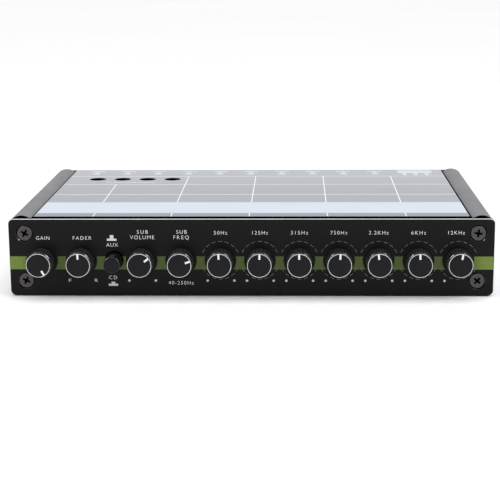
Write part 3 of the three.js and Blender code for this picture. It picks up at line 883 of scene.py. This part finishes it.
def diagram_print():
    """A pale band near the front, lines across, and lines that run back."""
    lip = COVER_HALF - 0.2

    def strip(x0, x1, start, end):
        return rectangle(x0, x1, FACE_Y + start, FACE_Y + end)

    print_on_cover("diagram_band", [strip(-lip, lip, BAND_FRONT, BAND_BACK)], "band")
    rows = [strip(-lip, lip, row - ROW_WIDTH / 2, row + ROW_WIDTH / 2) for row in ROWS]
    print_on_cover("diagram_rows", rows, "dull_line")
    loops = []
    for i in range(-2, 3):
        x = 29.1 * i - 0.5
        back = ROWS[1] if i == -2 else ROWS[2]
        loops.append(strip(x - COLUMN, x + COLUMN, BAND_BACK, back))
        loops.append(strip(x - COLUMN, x + COLUMN, 3.2, BAND_FRONT))
    print_on_cover("diagram_columns", loops, "line", over=True)


def taper(x, front_half, back_half, front, back):
    """A mark that narrows or widens from its front end to its back end."""
    return [(x - front_half, front), (x + front_half, front), (x + back_half, back), (x - back_half, back)]


def rear_marks():
    """A mark in front of each jack, a toothed one in front of the terminal, and a row of plain bars."""
    rear = COVER_HIGH.y
    marks = []
    for x in JACK_X:
        marks.append(taper(x, 1.9, 0.5, rear - 11.5, rear - 5.5))
        marks.append(rectangle(x - 3.2, x + 3.2, rear - 4.6, rear - 2.6))
    print_on_cover("jack_marks", marks, "faint")
    middle = middle_x("power_terminal") - 0.8
    root = rear - 8.5
    print_on_cover("terminal_mark", [rectangle(middle - 7.5, middle + 7.5, root, rear - 1.0)], "tag")
    teeth = [taper(middle + 4.8 * k, 0.6, 1.2, rear - 14.2, root) for k in (-1, 0, 1)]
    print_on_cover("terminal_teeth", teeth, "tag")
    row = HOLES[0][1] - 9.2
    bars = [rectangle(x, x + 0.8, row, row + 1.4) for x in (1.3 * i - 63.4 for i in range(16))]
    print_on_cover("hole_marks", bars, "dull_line")


def bottom_cover():
    lip = BASE_HALF
    y0, y1 = BASE_LOW.y, BASE_HIGH.y
    middle = level_plane(BASE_LOW.z + SHEET / 2)
    skin = sheet("base_skin", rectangle(-lip, lip, y0, y1), [], SHEET, SOFT_EDGE, middle, "black_steel")
    bm = cover_with_flanges(skin, lip, 1.9, 3.0, 2.1, y0, y1)
    place("black_base", to_mesh(bm, "black_base", ["black_steel"]), CHASSIS, ["bottom_cover"])


# ---------------------------------------------------------------- rear panel, jacks and terminal

JACK_Z = 14.2
JACK_HOLE = 4.9
REAR_SCREW_HOLE = 1.6
HOUSING_BACK = 52.3  # where the black blocks stop, just inside the rear plate
SOCKET_MATERIALS = ["black_plastic", "nickel", "red_plastic", "white_plastic", "brass"]


def rear_panel():
    outline = rounded_rectangle(REAR_LOW.x, REAR_HIGH.x, REAR_LOW.z, REAR_HIGH.z, CORNER)
    holes = [circle_points(x, JACK_Z, JACK_HOLE, 48) for x in JACK_X]
    low, high = box_mm("power_terminal")
    holes.append(rectangle(low.x - 0.3, high.x + 0.3, BOARD_Z, high.z + 0.3))
    holes += [circle_points(x, z, REAR_SCREW_HOLE, 32) for x, z in SCREW_PLACES]
    thickness = REAR_HIGH.y - REAR_LOW.y
    plane = front_plane(REAR_LOW.y + thickness / 2)
    mesh = sheet("rear_plate", outline, holes, thickness, 0.15, plane, "black_steel")
    place("rear_plate", mesh, CHASSIS, ["rear_panel"])


def socket(bm, x, back, insulator):
    """One jack: a black collar, a plated sleeve with a groove, a coloured insulator and a contact in it."""
    at = (x, 0, JACK_Z)
    root = REAR_Y + 0.3
    collar = [(0, 51.5), (4.7, 51.5), (4.7, REAR_Y + 0.55), (4.45, REAR_Y + 0.8), (0, REAR_Y + 0.8)]
    lathe(bm, collar, 56, at, material=SOCKET_MATERIALS.index("black_plastic"))
    sleeve = [(3.5, root), (4.15, root), (4.15, REAR_Y + 3.2), (3.98, REAR_Y + 3.4), (3.98, REAR_Y + 3.9),
              (4.15, REAR_Y + 4.1), (4.15, back - 0.5), (4.02, back - 0.14), (3.8, back),
              (3.62, back - 0.12), (3.5, back - 0.5), (3.5, root)]
    lathe(bm, sleeve, 56, at, material=SOCKET_MATERIALS.index("nickel"))
    core = [(1.9, root), (3.5, root), (3.5, back - 1.0), (3.3, back - 0.75), (2.2, back - 0.75),
            (1.9, back - 1.1), (1.9, root)]
    lathe(bm, core, 56, at, material=SOCKET_MATERIALS.index(insulator))
    start = REAR_Y + 0.9
    contact = [(1.65, start), (1.9, start), (1.9, back - 1.3), (1.65, back - 1.6), (1.65, start)]
    lathe(bm, contact, 32, at, material=SOCKET_MATERIALS.index("brass"))


def socket_pair(name):
    """A black block with two sockets; the left insulator is white and the right one red."""
    low, high = box_mm(name + "_jacks")
    middle = (low.x + high.x) / 2
    bm = bmesh.new()
    block(bm, (low.x, low.y, BOARD_Z), (middle - 0.15, HOUSING_BACK, high.z), 0.35, 2)
    block(bm, (middle + 0.15, low.y, BOARD_Z), (high.x, HOUSING_BACK, high.z), 0.35, 2)
    block(bm, (low.x + 1.5, low.y + 1.5, BOARD_Z), (high.x - 1.5, HOUSING_BACK - 0.5, high.z - 1.2), 0.2, 1)
    socket(bm, middle - JACK_HALF, high.y, "white_plastic")
    socket(bm, middle + JACK_HALF, high.y, "red_plastic")
    mesh = to_mesh(bm, name + "_sockets", SOCKET_MATERIALS, 35)
    place(name + "_sockets", mesh, CHASSIS, [name + "_jacks"])


POLE_PITCH = 5.08
ENTRY_Z, ENTRY_RADIUS = 10.4, 1.5
WELL_RADIUS = 1.9
WELL_BACK = 3.4  # from the terminal's rear face to the middle of its screws


def clamp_screw(x, y, z, turn):
    """A slotted screw's head, facing up, with its slot turned by some degrees."""
    head, slot = bmesh.new(), bmesh.new()
    lathe(head, [(0, 0), (1.55, 0), (1.75, 0.2), (1.75, 1.0), (0, 1.0)], 32)
    block(slot, (-2, -1, -0.22), (2, 0.5, 0.22))
    mesh = cut(to_mesh(head, "clamp", ["nickel"], 35), to_mesh(slot, "slot", ["nickel"]))
    facing_up = Matrix.Rotation(-math.pi / 2, 4, "X")
    spin = Matrix.Rotation(math.radians(turn), 4, "Z")
    mesh.transform(Matrix.Translation(Vector((x, y, z)) * MM) @ spin @ facing_up)
    return mesh


def terminal_cutters(low, high, middle):
    """The three wire entries, the three wells, and the grooves between the poles and in the two sides."""
    tools = bmesh.new()
    entry = [(0, high.y - 5), (ENTRY_RADIUS, high.y - 5), (ENTRY_RADIUS, high.y - 0.5), (1.9, high.y + 0.1),
             (0, high.y + 0.1)]
    for k in (-1, 0, 1):
        x = middle + POLE_PITCH * k
        lathe(tools, entry, 32, (x, 0, ENTRY_Z))
        well = circle_points(x, high.y - WELL_BACK, WELL_RADIUS, 32)
        prism(tools, well, "z", high.z - 2.0, high.z + 1)
    groove_z = low.z + 1.2
    for k in (-0.5, 0.5):
        x = middle + POLE_PITCH * k
        prism(tools, rectangle(x - 0.3, x + 0.3, high.y - 0.8, high.y + 1), "z", groove_z, high.z + 1)
    for x in (low.x, high.x):
        prism(tools, rectangle(x - 0.4, x + 0.4, high.y - 6.5, high.y - 3.5), "z", groove_z, high.z - 3)
    return to_mesh(tools, "tools", ["terminal"])


def power_terminal():
    """A moulded block with three wire entries in its rear face and three clamp screws in wells on top."""
    low, high = box_mm("power_terminal")
    middle = (low.x + high.x) / 2
    bm = bmesh.new()
    block(bm, (low.x, low.y, low.z), high, 0.3, 2)
    body = to_mesh(bm, "terminal_block", ["terminal"], 32)
    cutters = terminal_cutters(low, high, middle)
    bm = bmesh.new()
    for k in (-1, 0, 1):
        bm.from_mesh(clamp_screw(middle + POLE_PITCH * k, high.y - WELL_BACK, high.z - 0.9, 20 + 35 * k))
    back_to_mm(bm)
    place("clamp_screws", to_mesh(bm, "clamp_screws", ["nickel"], 35), CHASSIS)
    mesh = cut(body, cutters)
    mesh.materials.clear()
    mesh.materials.append(M["terminal"])

    def in_entry(centre, normal):
        beside = abs(centre.x - middle) < POLE_PITCH + ENTRY_RADIUS + 0.1
        return beside and abs(centre.z - ENTRY_Z) < ENTRY_RADIUS + 0.1 and centre.y < high.y - 0.6

    # Painted shade: the insides of the wire entries are black.
    recolour(mesh, "painted_shade", in_entry)
    shade(mesh, 32)
    mesh.name = "terminal_block"
    place("terminal_block", mesh, CHASSIS, ["power_terminal"])


front_panel()
front_print()
screws()
knobs()
source_button()
rails()
top_cover()
diagram_print()
rear_marks()
bottom_cover()
rear_panel()
for pair in JACKS:
    socket_pair(pair)
power_terminal()

# Nodes that keep their CAD shape get a material of their own.
KEPT = {"steel": ["shaft", "potentiometer"],
        "black_plastic": ["plunger", "regulator", "inductor", "switch_body"],
        "board": ["main_board"], "sleeve": ["capacitor"]}
for node, obj in frame["nodes"].items():
    for material, endings in KEPT.items():
        if any(node.endswith(e) for e in endings):
            obj.data.materials.clear()
            obj.data.materials.append(M[material])

# ---------------------------------------------------------------- floor, light and camera


def stage():
    bm = bmesh.new()
    bmesh.ops.create_grid(bm, x_segments=1, y_segments=1, size=6.0)
    mesh = bpy.data.meshes.new("floor")
    bm.to_mesh(mesh)
    bm.free()
    floor = bpy.data.objects.new("floor", mesh)
    bpy.context.scene.collection.objects.link(floor)
    n = Nodes("pale_floor")
    n.set(Base_Color=n.ramp(n.noise(3.0), [(0.3, (0.93, 0.93, 0.93)), (0.7, (0.95, 0.95, 0.95))]))
    n.shader.inputs["Roughness"].default_value = 0.9
    mesh.materials.append(n.material)


def area(name, location, target, size, power, shine_only=False):
    light = bpy.data.lights.new(name, "AREA")
    light.shape = "RECTANGLE"
    light.size, light.size_y = size
    light.energy = power
    obj = bpy.data.objects.new(name, light)
    obj.visible_diffuse = not shine_only
    bpy.context.scene.collection.objects.link(obj)
    obj.location = location
    obj.rotation_euler = (Vector(target) - Vector(location)).to_track_quat("-Z", "Y").to_euler()


def sun(name, tilt, strength, angle):
    """A very wide even light from above; tilt leans it towards the front and the right, in degrees."""
    light = bpy.data.lights.new(name, "SUN")
    light.energy = strength
    light.angle = math.radians(angle)
    obj = bpy.data.objects.new(name, light)
    obj.visible_glossy = False
    bpy.context.scene.collection.objects.link(obj)
    obj.rotation_euler = (math.radians(-tilt[0]), math.radians(tilt[1]), 0)


stage()
world = bpy.data.worlds.new("studio")
world.use_nodes = True
world.node_tree.nodes["Background"].inputs["Color"].default_value = (1, 1, 1, 1)
world.node_tree.nodes["Background"].inputs["Strength"].default_value = 0.45
bpy.context.scene.world = world
sun("overhead", (-4, 6), 1.95, 70)
for side in (-0.6, 0.6):
    area("softbox", (side, -0.45, 0.55), (0, -0.05, 0.01), (0.3, 0.5), 1.8)
    area("strip_light", (side * 0.9, -0.42, 0.5), (0, -0.05, 0.01), (0.1, 0.5), 3.5, shine_only=True)

CAMERA = {"at": (0.01677, -0.54539, 0.12943), "pitch": 12.827, "yaw": -1.975, "roll": -0.420, "lens": 97.75}


def camera():
    data = bpy.data.cameras.new("camera")
    data.sensor_width = 36.0
    data.lens = CAMERA["lens"]
    data.clip_start = 0.01
    obj = bpy.data.objects.new("camera", data)
    bpy.context.scene.collection.objects.link(obj)
    turn = (Matrix.Rotation(math.radians(-CAMERA["yaw"]), 4, "Z")
            @ Matrix.Rotation(math.radians(90 - CAMERA["pitch"]), 4, "X")
            @ Matrix.Rotation(math.radians(CAMERA["roll"]), 4, "Z"))
    obj.matrix_world = Matrix.Translation(CAMERA["at"]) @ turn
    bpy.context.scene.camera = obj


camera()
bpy.context.scene.view_settings.view_transform = "Standard"

bpy.context.view_layer.update()
